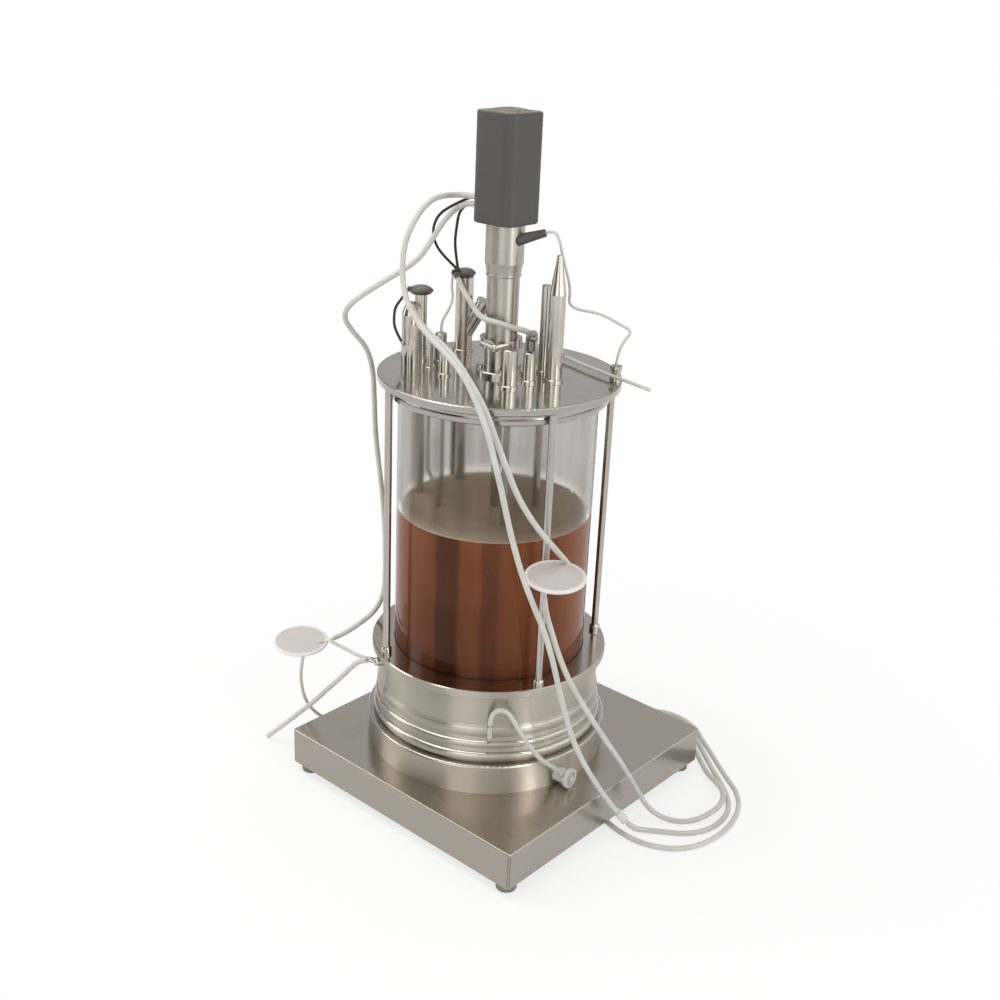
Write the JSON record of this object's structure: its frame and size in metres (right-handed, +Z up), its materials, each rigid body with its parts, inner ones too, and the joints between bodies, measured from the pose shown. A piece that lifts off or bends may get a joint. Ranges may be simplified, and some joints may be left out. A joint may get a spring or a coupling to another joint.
{
  "type": "bench bioreactor",
  "caption": "Stirred glass bench bioreactor on a jacketed steel bowl and a low sheet steel base, with top motor drive, headplate ports, filters and silicone lines.",
  "frame": {"origin": "centre of the base's footprint on the bench, at the undersides of the feet", "axes": "+Z up along the vessel, +X and +Y along the base's sides; the vessel's own axis is at x = -14 mm, y = -8 mm"},
  "size_m": [0.5106, 0.4124, 0.7596],
  "materials": {
    "brushed_steel": "brushed sheet steel, warm grey",
    "polished_steel": "polished stainless steel",
    "fitting_steel": "turned stainless fittings",
    "bearing_steel": "ground bearing steel",
    "coupling_aluminium": "clear anodised aluminium",
    "grey_paint": "dark grey satin paint",
    "dark_plastic": "dark grey plastic",
    "filter_plastic": "pale warm white filter plastic",
    "clear_plastic": "pale translucent plastic",
    "silicone": "pale translucent silicone tube",
    "cable_rubber": "black cable jacket",
    "foot_rubber": "black rubber feet",
    "seal_rubber": "dark seal rubber",
    "clear_glass": "clear borosilicate glass",
    "broth": "dark red-brown liquid"
  },
  "bodies": {
    "stand": {"air_floor_line": "silicone", "air_line": "silicone", "angled_port": "fitting_steel", "base_bottom_plate": "brushed_steel", "base_feet": "foot_rubber", "base_housing": "brushed_steel", "base_nipples": "fitting_steel", "cable_gland": "dark_plastic", "cap_screws": "fitting_steel", "clamp_ring": "polished_steel", "column_clamp": "fitting_steel", "column_plug": "dark_plastic", "condenser": "fitting_steel", "culture_liquid": "broth", "drive_collar": "polished_steel", "drive_column": "polished_steel", "exhaust_line": "silicone", "feed_floor_line": "silicone", "feed_line": "silicone", "feed_wye": "fitting_steel", "filter_drain": "silicone", "filter_link": "silicone", "front_filter": "filter_plastic", "glass_cylinder": "clear_glass", "glass_seals": "seal_rubber", "headplate": "polished_steel", "inlet_tail": "silicone", "jacket_inlet": "fitting_steel", "jacket_outlet": "fitting_steel", "jacket_shell": "polished_steel", "left_filter": "filter_plastic", "left_port": "fitting_steel", "left_port_cable": "cable_rubber", "line_connector": "clear_plastic", "lower_bowl": "polished_steel", "motor_cable_a": "cable_rubber", "motor_cable_b": "cable_rubber", "motor_housing": "grey_paint", "nipple_ports": "fitting_steel", "outlet_connector": "polished_steel", "outlet_tube": "silicone", "plinth_ring": "brushed_steel", "probes": "dark_plastic", "rear_port": "fitting_steel", "rear_port_drop": "silicone", "rear_port_link": "silicone", "return_line": "silicone", "rim_fitting": "fitting_steel", "rim_tube": "silicone", "rod_collars": "fitting_steel", "seal_housing": "fitting_steel", "sensor_lead": "silicone", "shaft_bearings": "bearing_steel", "sparger": "fitting_steel", "thermowell": "fitting_steel", "tie_rods": "polished_steel"},
    "agitator": {"agitator_shaft": "polished_steel", "turbines": "polished_steel", "shaft_coupling": "coupling_aluminium", "motor_shaft": "polished_steel"}
  },
  "joints": [
    {"name": "agitator_spin", "type": "hinge", "parent": "stand", "child": "agitator", "pos_m": [-0.014, -0.008, 0.4], "axis": [0, 0, 1], "continuous": true}
  ]
}
